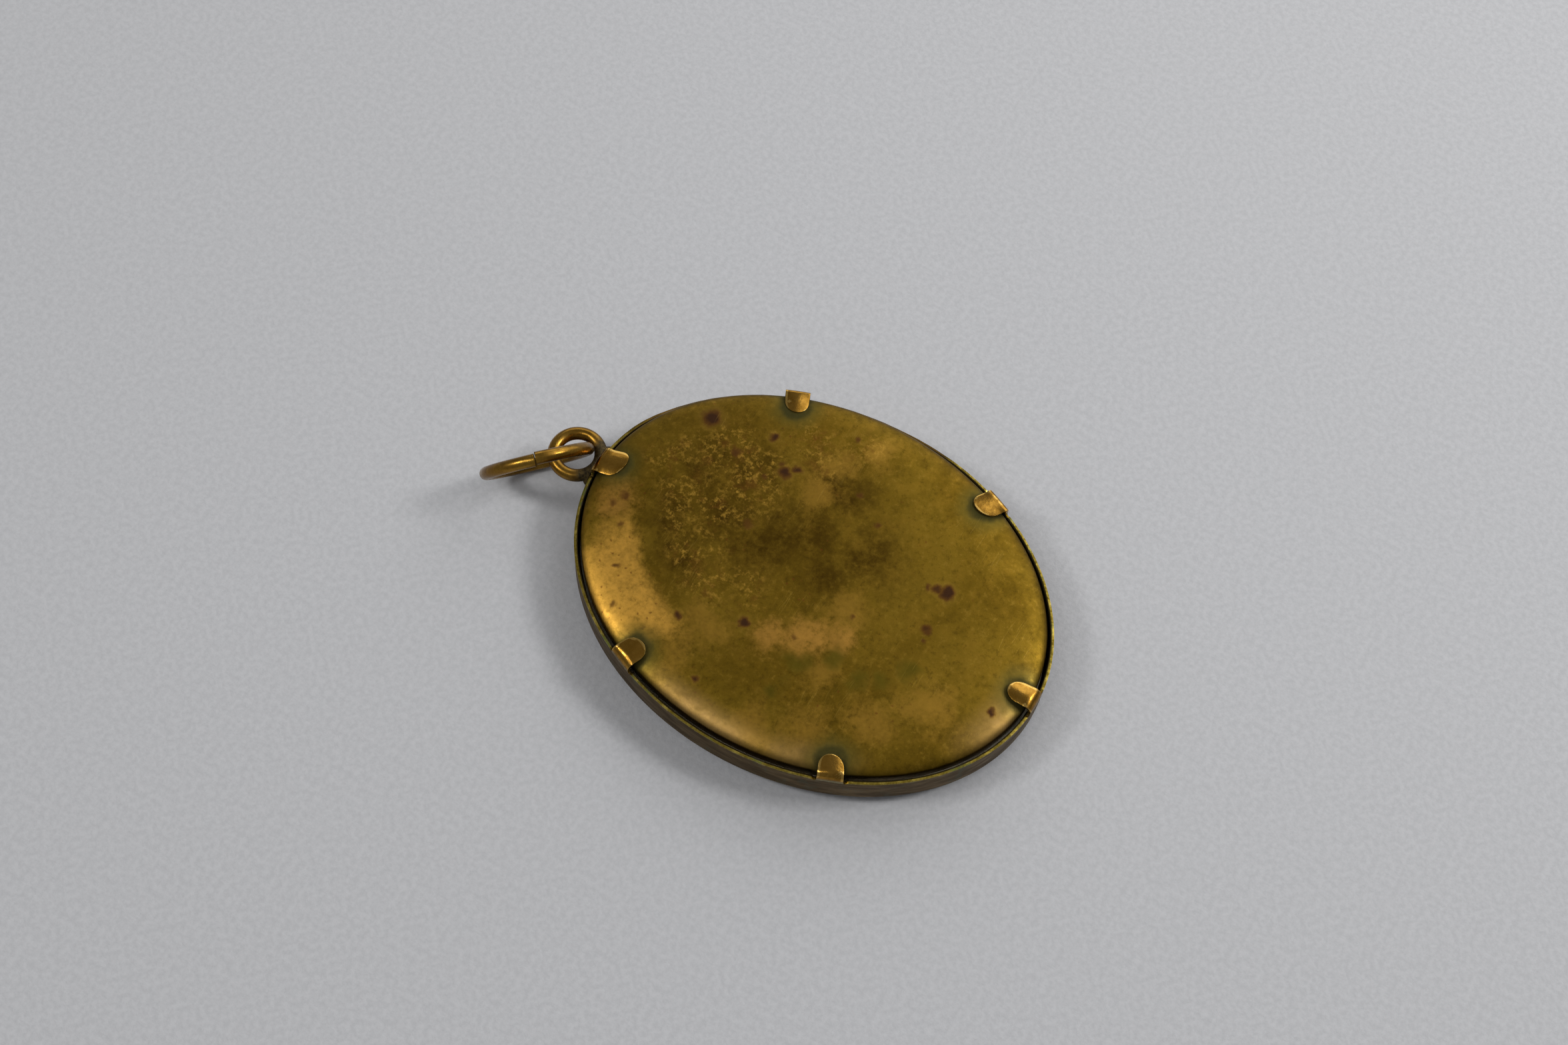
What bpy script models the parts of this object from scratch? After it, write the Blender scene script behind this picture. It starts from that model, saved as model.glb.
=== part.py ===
"""Oval picture locket in stamped brass, lying on its domed glass with its back uppermost.

The origin is the middle of the small flat on the crown of the glass, which the locket rests on.
+Z points out of the back plate and +Y from the centre to the eye. All lengths are in metres.
"""

import math

import bmesh
import bpy
from mathutils import Matrix, Vector

MM = 0.001

# Driving dimensions of the oval bezel
HALF_WIDTH = 16.35 * MM
HALF_LENGTH = 21.0 * MM
SHEET = 0.3 * MM
LIP_Z = 1.0 * MM
RIM_Z = 4.35 * MM
LIP_WIDTH = 1.3 * MM
CORNER_RADIUS = 0.4 * MM

# Six tabs are cut from the wall's own sheet, 60 degrees or so apart, and folded over the plate
TAB_TURNS = [math.radians(degrees) for degrees in (28, 90, 152, 208, 270, 332)]
TAB_WIDTH = 2.2 * MM
TAB_REACH = 2.35 * MM
TAB_TOP_Z = 5.3 * MM
TAB_BEND = 0.5 * MM
TAB_SLOPE = 0.03
TAB_TIP_START = 1.35 * MM
TAB_TIP_SHARE = 0.35
TAB_STEPS = 4
STEPS_BETWEEN_TABS = 8

# Each dome ends in a small flat oval on its crown, this share of the dome's own size
CROWN_FLAT_SHARE = 0.15

# The domed back plate, with its edge rolled down inside the wall
PLATE_SHEET = 0.4 * MM
PLATE_INSET = 0.5 * MM
PLATE_FOOT_Z = 3.95 * MM
PLATE_ROLL_Z = 4.2 * MM
PLATE_ROLL_WIDTH = 0.8 * MM
PLATE_SHOULDER_Z = 4.9 * MM
PLATE_CROWN_Z = 5.45 * MM

# What the bezel and the back plate hold between them
GLASS_THICKNESS = 1.0 * MM
GLASS_INSET = 0.5 * MM
GLASS_SEAT_Z = 1.38 * MM
GLASS_SEAT_WIDTH = 1.0 * MM
CARD_THICKNESS = 0.3 * MM
CARD_Z = 2.46 * MM
PAD_INSET = 1.0 * MM
PAD_Z = 2.84 * MM
PAD_EDGE_Z = 4.0 * MM
PAD_SHOULDER_WIDTH = 0.7 * MM
PAD_SHOULDER_Z = 4.4 * MM
PAD_CROWN_Z = 4.9 * MM

# The eye lies flat against the end of the wall, where it is soldered on
EYE_RADIUS = 2.0 * MM
EYE_WIRE = 1.1 * MM
EYE_CENTRE = Vector((0.0, 23.1 * MM, 3.55 * MM))
SOLDER_REACH = 1.15 * MM
SOLDER_SINK = 0.1 * MM
SOLDER_SIZE = Vector((0.85 * MM, 0.6 * MM, 0.5 * MM))

# The jump ring stands on its edge through the eye, and turns about the vertical line inside it
RING_RADIUS = 4.47 * MM
RING_WIRE = 1.04 * MM
RING_PIVOT = Vector((0.64 * MM, 22.75 * MM, 3.55 * MM))
RING_CENTRE = Vector((-2.82 * MM, 25.33 * MM, 4.64 * MM))
RING_YAW = math.radians(46.4)
RING_LEAN = math.radians(23.8)
RING_SLIT = 0.12 * MM
RING_SLIT_TURN = math.radians(95.0)
RING_SPREAD = 0.08 * MM

# The clearance left between touching pieces, and how finely round shapes are divided
FIT = 0.08 * MM
ROLL_STEPS = 4
DOME_STEPS = 5
RING_STEPS = 44
SHARP_ANGLE = math.radians(40)


def remove_everything():
    """Empty the file of its start-up objects."""
    for thing in list(bpy.data.objects):
        bpy.data.objects.remove(thing, do_unlink=True)


def make_collection(name):
    """A collection of this name in the scene."""
    collection = bpy.data.collections.new(name)
    bpy.context.scene.collection.children.link(collection)
    return collection


def make_material(name, colour, roughness, metallic=0.0, transmission=0.0):
    """A Principled material."""
    material = bpy.data.materials.new(name)
    material.use_nodes = True
    shader = material.node_tree.nodes["Principled BSDF"]
    shader.inputs["Base Color"].default_value = (*colour, 1.0)
    shader.inputs["Roughness"].default_value = roughness
    shader.inputs["Metallic"].default_value = metallic
    shader.inputs["Transmission Weight"].default_value = transmission
    material.diffuse_color = (*colour, 1.0)
    return material


def add_object(name, bm, collection, material=None):
    """An object made from a bmesh, shaded smooth except at its sharp corners."""
    mesh = bpy.data.meshes.new(name)
    bm.to_mesh(mesh)
    bm.free()
    mesh.shade_smooth()
    mesh.set_sharp_from_angle(angle=SHARP_ANGLE)
    thing = bpy.data.objects.new(name, mesh)
    collection.objects.link(thing)
    if material:
        mesh.materials.append(material)
    return thing


def add_solidify(thing, thickness):
    """Thicken an open surface on the side away from its normals."""
    shell = thing.modifiers.new("sheet", "SOLIDIFY")
    shell.thickness = thickness
    shell.offset = -1.0
    shell.use_even_offset = True


def add_boolean(thing, other, operation):
    """Join another object to this one, or cut it away."""
    boolean = thing.modifiers.new(operation.lower(), "BOOLEAN")
    boolean.operation = operation
    boolean.solver = "EXACT"
    boolean.object = other


def hide_cutter(thing):
    """Mark an object as a tool for a Boolean and not a piece of the locket."""
    thing.hide_render = True
    thing.display_type = "WIRE"


def oval_normal(turn):
    """The direction out of the oval's edge at this turn."""
    return Vector((math.cos(turn) / HALF_WIDTH, math.sin(turn) / HALF_LENGTH, 0.0)).normalized()


def oval_point(turn, inset, height=0.0, share=1.0):
    """A point on the oval, moved in from the wall's outside, then shrunk towards the axis."""
    edge = Vector((HALF_WIDTH * math.cos(turn), HALF_LENGTH * math.sin(turn), 0.0))
    place = (edge - oval_normal(turn) * inset) * share
    place.z = height
    return place


def oval_turns():
    """Turns round the oval, with a run of short steps across each tab."""
    turns = []
    for index, middle in enumerate(TAB_TURNS):
        following = TAB_TURNS[(index + 1) % len(TAB_TURNS)]
        if following < middle:
            following += 2 * math.pi
        half = tab_half_turn(middle)
        start = middle - half
        turns += [start + 2 * half * step / TAB_STEPS for step in range(TAB_STEPS)]
        gap = (following - tab_half_turn(following)) - (middle + half)
        turns += [middle + half + gap * step / STEPS_BETWEEN_TABS for step in range(STEPS_BETWEEN_TABS)]
    return turns


def tab_half_turn(middle):
    """Half of the turn that a tab takes up on the oval."""
    speed = math.hypot(HALF_WIDTH * math.sin(middle), HALF_LENGTH * math.cos(middle))
    return TAB_WIDTH / 2 / speed


def start_oval(bm, station):
    """A closed loop of edges round the oval. Each vertex keeps its turn."""
    turns = oval_turns()
    layer = bm.verts.layers.float.new("turn")
    loop = bmesh.ops.create_circle(bm, segments=len(turns), radius=1.0)["verts"]
    loop.sort(key=lambda vert: math.atan2(vert.co.y, vert.co.x) % (2 * math.pi))
    for vert, turn in zip(loop, turns):
        vert[layer] = turn
        vert.co = oval_point(turn, *station)
    return list(bm.edges)


def grow(bm, edges, place):
    """Extrude edges and put each new vertex where place says. Returns the new far edges."""
    made = bmesh.ops.extrude_edge_only(bm, edges=edges)["geom"]
    verts = {item for item in made if isinstance(item, bmesh.types.BMVert)}
    for vert in verts:
        vert.co = place(vert)
    return [item for item in made if isinstance(item, bmesh.types.BMEdge) and set(item.verts) <= verts]


def grow_ovals(bm, edges, stations):
    """Grow a surface through ovals at stations of inset, height and share."""
    layer = bm.verts.layers.float["turn"]
    for station in stations:
        edges = grow(bm, edges, lambda vert: oval_point(vert[layer], *station))
    return edges


def face_out(bm):
    """Turn the surface over if its first face looks towards the locket's middle."""
    bm.normal_update()
    bm.faces.ensure_lookup_table()
    first = bm.faces[0]
    middle = Vector((0.0, 0.0, (LIP_Z + RIM_Z) / 2))
    if first.normal.dot(first.calc_center_median() - middle) < 0:
        bmesh.ops.reverse_faces(bm, faces=list(bm.faces))


def arc(steps):
    """Pairs of sine and one minus cosine along a quarter turn, without its start."""
    angles = [math.pi / 2 * step / steps for step in range(1, steps + 1)]
    return [(math.sin(angle), 1 - math.cos(angle)) for angle in angles]


def dome_stations(inset, edge_z, crown_z):
    """Ovals from a dome's edge to the small flat on its crown."""
    stations = []
    for step in range(1, DOME_STEPS + 1):
        share = 1 - (1 - CROWN_FLAT_SHARE) * step / DOME_STEPS
        rise = (1 - share ** 2) / (1 - CROWN_FLAT_SHARE ** 2)
        stations.append((inset, edge_z + (crown_z - edge_z) * rise, share))
    return stations


def tab_path():
    """Stations of inset, height and width share along the outside of a folded tab."""
    stations = [(0.0, TAB_TOP_Z - TAB_BEND, 1.0)]
    for forward, back in arc(ROLL_STEPS):
        stations.append((TAB_BEND * back, TAB_TOP_Z - TAB_BEND + TAB_BEND * forward, 1.0))
    stations.append((TAB_TIP_START, TAB_TOP_Z + TAB_SLOPE * TAB_TIP_START, 1.0))
    for forward, back in arc(ROLL_STEPS):
        inset = TAB_TIP_START + (TAB_REACH - TAB_TIP_START) * forward
        width = 1 - (1 - TAB_TIP_SHARE) * back
        stations.append((inset, TAB_TOP_Z + TAB_SLOPE * inset, width))
    return stations


def grow_tab(bm, rim_edges, middle):
    """Fold one tab out of the wall's rim and over the plate."""
    layer = bm.verts.layers.float["turn"]
    root = oval_point(middle, 0.0)
    inward = -oval_normal(middle)
    half_step = tab_half_turn(middle) / TAB_STEPS
    reach = tab_half_turn(middle) + half_step
    edges = [edge for edge in rim_edges if all(turn_gap(vert[layer], middle) < reach for vert in edge.verts)]

    def place(vert, station):
        inset, height, width = station
        across = oval_point(vert[layer], 0.0) - root
        point = root + inward * inset + across * width
        point.z = height
        return point

    for station in tab_path():
        edges = grow(bm, edges, lambda vert: place(vert, station))


def turn_gap(turn, other):
    """How far apart two turns are, either way round."""
    return abs((turn - other + math.pi) % (2 * math.pi) - math.pi)


def build_bezel(collection, material):
    """Bezel: oval wall, turned-in front lip and six folded tabs, all one sheet of brass."""
    bm = bmesh.new()
    rim_edges = start_oval(bm, (0.0, RIM_Z))
    stations = [(0.0, LIP_Z + CORNER_RADIUS)]
    for forward, back in arc(ROLL_STEPS):
        stations.append((CORNER_RADIUS * back, LIP_Z + CORNER_RADIUS * (1 - forward)))
    stations.append((LIP_WIDTH, LIP_Z))
    grow_ovals(bm, rim_edges, stations)
    for middle in TAB_TURNS:
        grow_tab(bm, rim_edges, middle)
    face_out(bm)
    add_solidify(add_object("bezel_frame", bm, collection, material), SHEET)


def build_back_plate(collection, material):
    """Back plate: a shallow dome with its edge rolled down inside the wall."""
    bm = bmesh.new()
    edges = start_oval(bm, (PLATE_INSET, PLATE_FOOT_Z))
    stations = [(PLATE_INSET, PLATE_ROLL_Z)]
    for forward, back in arc(ROLL_STEPS):
        height = PLATE_ROLL_Z + (PLATE_SHOULDER_Z - PLATE_ROLL_Z) * forward
        stations.append((PLATE_INSET + PLATE_ROLL_WIDTH * back, height))
    stations += dome_stations(stations[-1][0], PLATE_SHOULDER_Z, PLATE_CROWN_Z)
    edges = grow_ovals(bm, edges, stations)
    bmesh.ops.edgeloop_fill(bm, edges=edges)
    face_out(bm)
    add_solidify(add_object("back_plate", bm, collection, material), PLATE_SHEET)


def build_front_glass(collection, material):
    """Front glass: a domed crystal on the lip, with a small flat on its crown."""
    bm = bmesh.new()
    edges = start_oval(bm, (GLASS_INSET, GLASS_SEAT_Z))
    seat_end = GLASS_INSET + GLASS_SEAT_WIDTH
    stations = [(seat_end, GLASS_SEAT_Z)]
    stations += dome_stations(seat_end, GLASS_SEAT_Z, 0.0)
    edges = grow_ovals(bm, edges, stations)
    bmesh.ops.edgeloop_fill(bm, edges=edges)
    face_out(bm)
    add_solidify(add_object("front_glass", bm, collection, material), GLASS_THICKNESS)


def build_picture_card(collection, material):
    """Picture card: a thin oval behind the glass, left blank."""
    bm = bmesh.new()
    edges = start_oval(bm, (GLASS_INSET, CARD_Z))
    bmesh.ops.edgeloop_fill(bm, edges=edges)
    face_out(bm)
    add_solidify(add_object("picture_card", bm, collection, material), CARD_THICKNESS)


def build_backing_pad(collection, material):
    """Backing pad: soft board that fills the space under the back plate."""
    bm = bmesh.new()
    edges = start_oval(bm, (PAD_INSET, PAD_Z))
    bmesh.ops.edgeloop_fill(bm, edges=edges)
    shoulder_inset = PAD_INSET + PAD_SHOULDER_WIDTH
    stations = [(PAD_INSET, PAD_EDGE_Z), (shoulder_inset, PAD_SHOULDER_Z)]
    stations += dome_stations(shoulder_inset, PAD_SHOULDER_Z, PAD_CROWN_Z)
    edges = grow_ovals(bm, edges, stations)
    bmesh.ops.edgeloop_fill(bm, edges=edges)
    bmesh.ops.recalc_face_normals(bm, faces=list(bm.faces))
    add_object("backing_pad", bm, collection, material)


def build_wall_cutter(collection):
    """An upright oval block a little larger than the wall, which files the eye's foot flat."""
    bm = bmesh.new()
    edges = start_oval(bm, (-FIT, LIP_Z))
    foot = bmesh.ops.edgeloop_fill(bm, edges=edges)["faces"]
    top = bmesh.ops.extrude_face_region(bm, geom=foot)["geom"]
    lift = Vector((0.0, 0.0, RIM_Z))
    bmesh.ops.translate(bm, verts=[item for item in top if isinstance(item, bmesh.types.BMVert)], vec=lift)
    bmesh.ops.recalc_face_normals(bm, faces=list(bm.faces))
    cutter = add_object("wall_cutter", bm, collection)
    hide_cutter(cutter)
    return cutter


def build_solder_lump(name, side, collection):
    """A rounded lump of solder in the corner between the eye and the wall, on one side."""
    bpy.ops.mesh.primitive_uv_sphere_add(segments=14, ring_count=8, radius=1.0)
    lump = bpy.context.active_object
    lump.name = name
    lump.data.transform(Matrix.Diagonal((*SOLDER_SIZE, 1.0)))
    lump.location = (side * SOLDER_REACH, HALF_LENGTH - SOLDER_SINK, EYE_CENTRE.z)
    move_to(lump, collection)
    hide_cutter(lump)
    return lump


def move_to(thing, collection):
    """Put an object in one collection only."""
    for holder in list(thing.users_collection):
        holder.objects.unlink(thing)
    collection.objects.link(thing)


def build_eye(collection, cutters, material):
    """Eye: a wire ring lying flat, its foot filed to the wall and set in two lumps of solder."""
    bpy.ops.mesh.primitive_torus_add(
        major_radius=EYE_RADIUS,
        minor_radius=EYE_WIRE / 2,
        major_segments=40,
        minor_segments=12,
        location=EYE_CENTRE,
    )
    eye = bpy.context.active_object
    eye.name = "eye_ring"
    move_to(eye, collection)
    eye.data.materials.clear()
    eye.data.materials.append(material)
    eye.data.shade_smooth()
    for name, side in (("solder_lump_left", -1), ("solder_lump_right", 1)):
        add_boolean(eye, build_solder_lump(name, side, cutters), "UNION")
    add_boolean(eye, build_wall_cutter(cutters), "DIFFERENCE")


def ring_directions():
    """The jump ring's level direction, its upward direction and its normal."""
    normal = Vector((math.cos(RING_YAW), math.sin(RING_YAW), 0.0)) * math.cos(RING_LEAN)
    normal.z = math.sin(RING_LEAN)
    level = normal.cross(Vector((0.0, 0.0, 1.0))).normalized()
    return level, level.cross(normal), normal


def ring_points():
    """Points along the jump ring's wire, from one cut end to the other."""
    level, upward, normal = ring_directions()
    half_slit = RING_SLIT / 2 / RING_RADIUS
    points = []
    for step in range(RING_STEPS + 1):
        share = step / RING_STEPS
        turn = RING_SLIT_TURN + half_slit + (2 * math.pi - 2 * half_slit) * share
        flat = level * math.cos(turn) + upward * math.sin(turn)
        points.append(RING_CENTRE + flat * RING_RADIUS + normal * RING_SPREAD * (share - 0.5))
    return points


def build_jump_ring(collection, material):
    """Jump ring: round wire bent into a ring, with a fine slit where its ends meet."""
    curve = bpy.data.curves.new("jump_ring", "CURVE")
    curve.dimensions = "3D"
    curve.bevel_depth = RING_WIRE / 2
    curve.bevel_resolution = 3
    curve.use_fill_caps = True
    wire = curve.splines.new("POLY")
    points = ring_points()
    wire.points.add(len(points) - 1)
    for control, point in zip(wire.points, points):
        control.co = (*(point - RING_PIVOT), 1.0)
    ring = bpy.data.objects.new("jump_ring", curve)
    ring.location = RING_PIVOT
    curve.materials.append(material)
    collection.objects.link(ring)


def main():
    """Build the locket's pieces."""
    remove_everything()
    pieces = make_collection("picture_locket")
    cutters = make_collection("cutters")
    aged_brass = make_material("aged_brass", (0.36, 0.25, 0.06), 0.42, metallic=1.0)
    plate_brass = make_material("plate_brass", (0.30, 0.21, 0.04), 0.5, metallic=1.0)
    wire_brass = make_material("wire_brass", (0.40, 0.25, 0.07), 0.32, metallic=1.0)
    glass = make_material("glass", (0.92, 0.95, 0.93), 0.05, transmission=1.0)
    paper = make_material("paper", (0.80, 0.74, 0.60), 0.9)
    board = make_material("board", (0.45, 0.36, 0.26), 0.95)
    build_bezel(pieces, aged_brass)
    build_back_plate(pieces, plate_brass)
    build_front_glass(pieces, glass)
    build_picture_card(pieces, paper)
    build_backing_pad(pieces, board)
    build_eye(pieces, cutters, wire_brass)
    build_jump_ring(pieces, wire_brass)


main()
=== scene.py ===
"""The looks of the oval picture locket: fine meshes, aged brass, camera, floor and light.

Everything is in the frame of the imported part: the origin is the crown of the glass on the table,
+Z points out of the back plate and +Y from the centre to the eye. Lengths are in metres.
"""

import math

import bmesh
import bpy
from mathutils import Matrix, Vector, noise

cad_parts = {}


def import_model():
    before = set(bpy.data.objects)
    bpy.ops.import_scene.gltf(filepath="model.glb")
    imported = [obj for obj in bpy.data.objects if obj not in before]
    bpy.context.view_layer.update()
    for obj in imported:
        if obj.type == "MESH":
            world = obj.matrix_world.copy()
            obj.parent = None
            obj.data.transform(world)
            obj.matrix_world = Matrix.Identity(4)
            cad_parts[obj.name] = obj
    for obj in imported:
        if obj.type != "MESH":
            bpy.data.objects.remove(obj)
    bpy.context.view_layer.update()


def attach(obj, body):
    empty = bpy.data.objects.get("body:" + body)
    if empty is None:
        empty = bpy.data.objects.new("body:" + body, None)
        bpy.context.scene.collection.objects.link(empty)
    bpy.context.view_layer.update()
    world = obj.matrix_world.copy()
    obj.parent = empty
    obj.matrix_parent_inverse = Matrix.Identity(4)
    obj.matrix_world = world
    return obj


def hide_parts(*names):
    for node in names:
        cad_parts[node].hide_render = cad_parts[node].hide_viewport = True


MM = 0.001

# Driving dimensions, most of them as in the part. The back plate, the pad's inset, the solder and
# the two wire rings differ from it a little
HALF_WIDTH = 16.35 * MM
HALF_LENGTH = 21.0 * MM
SHEET = 0.3 * MM
LIP_Z = 1.0 * MM
RIM_Z = 4.35 * MM
LIP_WIDTH = 1.3 * MM
CORNER_RADIUS = 0.4 * MM
TAB_TOP_Z = 5.3 * MM
TAB_SLOPE = 0.03
PLATE_SHEET = 0.4 * MM
PLATE_INSET = 0.57 * MM
PLATE_FOOT_Z = 3.45 * MM
PLATE_ROLL_Z = 4.3 * MM
PLATE_ROLL_WIDTH = 0.8 * MM
PLATE_TOP_Z = 5.42 * MM
PLATE_FULLNESS = 6.0
GLASS_THICKNESS = 1.0 * MM
GLASS_INSET = 0.5 * MM
GLASS_SEAT_Z = 1.38 * MM
GLASS_SEAT_WIDTH = 1.0 * MM
CARD_THICKNESS = 0.3 * MM
CARD_Z = 2.46 * MM
PAD_INSET = 1.2 * MM
PAD_Z = 2.84 * MM
PAD_EDGE_Z = 4.0 * MM
PAD_SHOULDER_WIDTH = 0.7 * MM
PAD_SHOULDER_Z = 4.4 * MM
PAD_CROWN_Z = 4.9 * MM
EYE_RADIUS = 2.0 * MM
EYE_WIRE = 1.13 * MM
EYE_CENTRE = Vector((0.0, 23.1 * MM, 3.55 * MM))
SOLDER_REACH = 1.15 * MM
SOLDER_SINK = 0.1 * MM
SOLDER_SIZE = Vector((0.95 * MM, 0.7 * MM, 0.55 * MM))
RING_RADIUS = 4.385 * MM
RING_WIRE = 1.12 * MM
RING_CENTRE = Vector((-2.78 * MM, 25.3 * MM, 4.64 * MM))
RING_YAW = math.radians(46.4)
RING_LEAN = math.radians(23.8)
RING_SLIT = 0.05 * MM
RING_SLIT_TURN = math.radians(95.0)
RING_SPREAD = 0.12 * MM
RING_END_BEVEL = 0.05 * MM
CARD_BEVEL = 0.05 * MM
PAD_BEVEL = 0.1 * MM
SHEET_BEVEL = 0.135 * MM
FIT = 0.08 * MM

# The six tabs were cut and folded by hand, so each has its own shape, in degrees and millimetres.
# Lean is how far the tip strays along the wall, flare the share by which the tab widens on the way,
# bend the radius of its fold, and crown how far its sides droop
TAB_FIELDS = ("turn", "width", "reach", "tip", "flare", "lean", "bend", "crown")
TAB_VALUES = [
    (28, 2.16, 2.2, 0.95, -0.12, -0.1, 0.36, 0.12),
    (90, 2.35, 2.4, 1.0, 0.1, -0.6, 0.5, 0.2),
    (152, 2.2, 2.3, 1.1, -0.04, 0.1, 0.8, 0.1),
    (208, 2.16, 2.0, 1.05, -0.08, -0.15, 0.7, 0.1),
    (270, 1.95, 2.65, 1.2, -0.1, -0.15, 0.88, 0.14),
    (332, 2.3, 2.25, 1.05, 0.02, 0.45, 0.4, 0.1),
]
TAB_SHAPES = [dict(zip(TAB_FIELDS, values)) for values in TAB_VALUES]

# Small irregularities of handwork
WALL_WAVE = 0.05 * MM
RIM_WEAR = 0.035 * MM
RIM_WEAR_START = 0.5 * MM
NOTCH_DEPTH = 0.22 * MM
NOTCH_PLACE = 0.16 * MM
NOTCH_WIDTH = 0.12 * MM
PLATE_DENT = 0.035 * MM
PLATE_DENT_START = 2.5 * MM
TAB_DENT = 0.02 * MM
EYE_WEAR = 0.02
RING_WEAR = 0.012

# The plate lies towards one side of the wall and higher there, where the rim is filed down
FAR_HEADING = math.radians(28)
FAR_SIDE = Vector((math.cos(FAR_HEADING), math.sin(FAR_HEADING), 0.0))
FAR_DROP = 0.55 * MM
FAR_START = 0.72
FAR_SPAN = 0.24
PLATE_SHIFT = 0.16 * MM
PLATE_TILT = 0.18 * MM

# How fine the meshes are
GAP_COLUMNS = 84
TAB_COLUMNS = 18
TAB_FLAT_ROWS = 8
TAB_TIP_ROWS = 10
BEND_ROWS = 10
LIP_ROWS = 4
WALL_ROWS = 9
PLATE_COLUMNS = 320
DOME_ROWS = 56
ROLL_ROWS = 14
INNER_COLUMNS = 180
GLASS_ROWS = 30
PAD_ROWS = 16
SLAB_SHARES = (0.02, 0.25, 0.5, 0.75, 1.0)
PAD_SHARES = (0.02, 0.5, 0.9)
TUBE_SIDES = 32
EYE_STEPS = 120
RING_STEPS = 260
RING_END_STEPS = 6
SKIN_SIZE = 0.045 * MM

# The camera looks down at the back of the locket
CAMERA_TARGET = Vector((5.2 * MM, 5.6 * MM, 0.0))
CAMERA_DISTANCE = 200.2 * MM
CAMERA_ELEVATION = math.radians(64.9)
CAMERA_HEADING = math.radians(24.5)
CAMERA_ROLL = math.radians(6.45)
CAMERA_LENS = 53.57
CAMERA_SENSOR = 36.0

# Soft lights: heading and elevation in degrees, distance, width and height in metres, watts
SOFTBOXES = {
    "far_wall": (10, 26, 0.33, 0.5, 0.2, 0.4),
    "far_window": (-20, 52, 0.3, 0.18, 0.16, 0.18),
    "left_window": (126, 50, 0.5, 0.1, 0.1, 0.6),
    "near_window": (152, 66, 0.5, 0.2, 0.08, 0.26),
    "right_window": (-58, 46, 0.5, 0.12, 0.12, 0.9),
}
ROOM_COLOUR = (0.95, 0.97, 1.0, 1.0)
ROOM_LIGHT = 0.24
FLOOR_REACH = 1.5
FLOOR_GAP = 0.01 * MM


# ---------------------------------------------------------------- shapes


def oval_normal(turn):
    """The direction out of the oval's edge at this turn."""
    return Vector((math.cos(turn) / HALF_WIDTH, math.sin(turn) / HALF_LENGTH, 0.0)).normalized()


def oval_point(turn, inset, height=0.0, share=1.0):
    """A point on the oval, moved in from the wall's outside, then shrunk towards the axis."""
    edge = Vector((HALF_WIDTH * math.cos(turn), HALF_LENGTH * math.sin(turn), 0.0))
    place = (edge - oval_normal(turn) * inset) * share
    place.z = height
    return place


def edge_speed(turn):
    """Length of the oval's edge for each radian of turn."""
    return math.hypot(HALF_WIDTH * math.sin(turn), HALF_LENGTH * math.cos(turn))


def grain(point, size, shift=0.0):
    """Smooth noise between -1 and 1 whose features are about this size."""
    return noise.noise(point / size + Vector((shift, shift * 0.7, shift * 1.3)))


def ease(share):
    """A smooth step from 0 to 1."""
    share = max(0.0, min(1.0, share))
    return share * share * (3 - 2 * share)


def arc(steps):
    """Pairs of sine and one minus cosine along a quarter turn, without its start."""
    angles = [math.pi / 2 * step / steps for step in range(1, steps + 1)]
    return [(math.sin(angle), 1 - math.cos(angle)) for angle in angles]


def bridge(bm, lower, upper, closed=True):
    """Faces between two rows of as many vertices."""
    count = len(lower)
    for index in range(count if closed else count - 1):
        after = (index + 1) % count
        bm.faces.new((lower[index], lower[after], upper[after], upper[index]))


def add_rows(bm, rows, closed=True):
    """A surface through rows of points. Returns the rows of its vertices."""
    made = [[bm.verts.new(point) for point in row] for row in rows]
    for lower, upper in zip(made, made[1:]):
        bridge(bm, lower, upper, closed)
    return made


def close_row(bm, row, point):
    """A fan of faces from the last row to one point."""
    tip = bm.verts.new(point)
    for index in range(len(row)):
        bm.faces.new((row[index], row[(index + 1) % len(row)], tip))


def make_object(name, bm):
    """An object made from a bmesh, with smooth shading."""
    mesh = bpy.data.meshes.new(name)
    bmesh.ops.recalc_face_normals(bm, faces=list(bm.faces))
    bm.to_mesh(mesh)
    bm.free()
    mesh.shade_smooth()
    thing = bpy.data.objects.new(name, mesh)
    bpy.context.scene.collection.objects.link(thing)
    return thing


def turn_out(bm, above):
    """Turn an open surface so that its highest (above) or lowest face looks away from the middle."""
    bm.normal_update()
    faces = sorted(bm.faces, key=lambda face: face.calc_center_median().z)
    if above:
        wrong = faces[-1].normal.z < 0
    else:
        wrong = faces[0].normal.z > 0
    if wrong:
        bmesh.ops.reverse_faces(bm, faces=list(bm.faces))


def make_sheet(name, bm, thickness, above):
    """An object from an open surface, thickened inwards, with its cut edges softened."""
    mesh = bpy.data.meshes.new(name)
    bmesh.ops.recalc_face_normals(bm, faces=list(bm.faces))
    turn_out(bm, above)
    bm.to_mesh(mesh)
    bm.free()
    thing = bpy.data.objects.new(name, mesh)
    bpy.context.scene.collection.objects.link(thing)
    shell = thing.modifiers.new("sheet", "SOLIDIFY")
    shell.thickness = thickness
    shell.offset = -1.0
    shell.use_even_offset = True
    round_edges(thing, SHEET_BEVEL)
    bake_modifiers(thing)
    thing.data.shade_smooth()
    return thing


def round_edges(thing, width):
    """Soften the sharp edges of an object."""
    bevel = thing.modifiers.new("edges", "BEVEL")
    bevel.width = width
    bevel.segments = 3
    bevel.limit_method = "ANGLE"
    bevel.angle_limit = math.radians(50)


def bake_modifiers(thing):
    """Put what the modifiers make into the object's own mesh."""
    graph = bpy.context.evaluated_depsgraph_get()
    mesh = bpy.data.meshes.new_from_object(thing.evaluated_get(graph), depsgraph=graph)
    mesh.name = thing.name
    thing.modifiers.clear()
    old = thing.data
    thing.data = mesh
    bpy.data.meshes.remove(old)


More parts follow.
